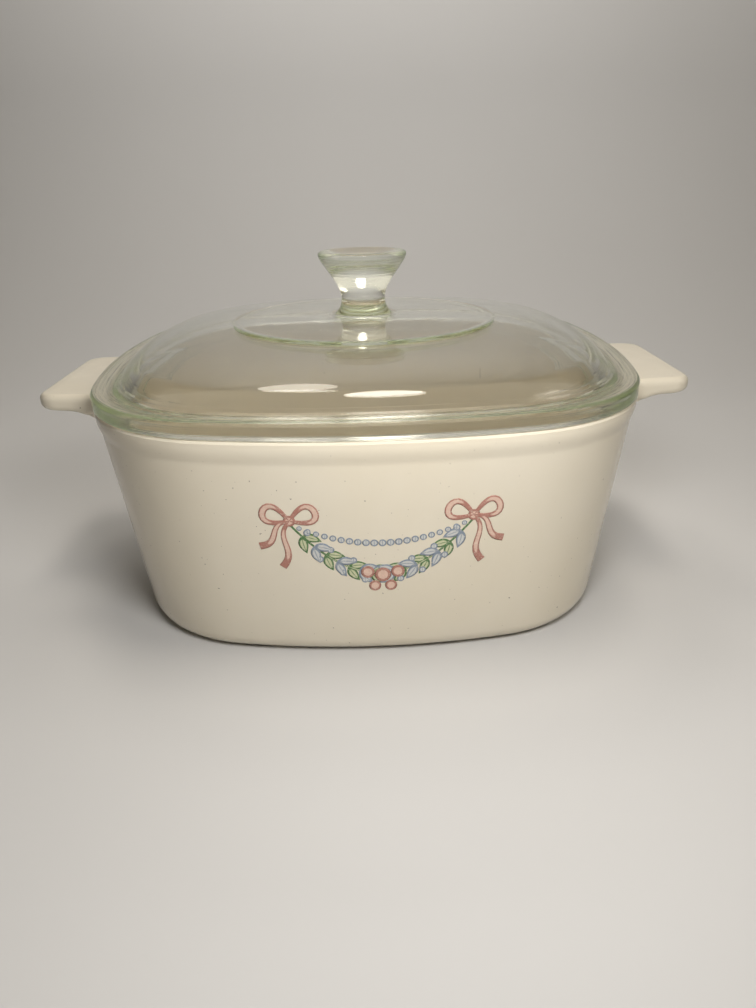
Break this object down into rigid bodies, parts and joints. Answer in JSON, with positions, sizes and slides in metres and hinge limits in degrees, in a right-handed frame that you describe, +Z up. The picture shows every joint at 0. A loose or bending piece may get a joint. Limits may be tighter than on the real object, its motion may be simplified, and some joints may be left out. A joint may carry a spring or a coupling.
{
  "type": "covered casserole dish",
  "caption": "Deep square-round baking dish with two moulded lugs, and a domed glass lid with a flared knob that lifts off.",
  "frame": {"origin": "centre of the base, on the surface that the dish stands on", "axes": "+X through the lugs, +Y from front to back, +Z up"},
  "size_m": [0.278, 0.226, 0.1404],
  "materials": {
    "ivory_glass_ceramic": "glossy, warm ivory",
    "clear_glass": "clear pressed glass, pale green at thick edges"
  },
  "bodies": {
    "dish": {"dish": "ivory_glass_ceramic"},
    "lid": {"lid": "clear_glass"}
  },
  "joints": [
    {"name": "lid_lift", "type": "slide", "parent": "dish", "child": "lid", "axis": [0, 0, 1], "range_m": [0, 0.12]}
  ]
}
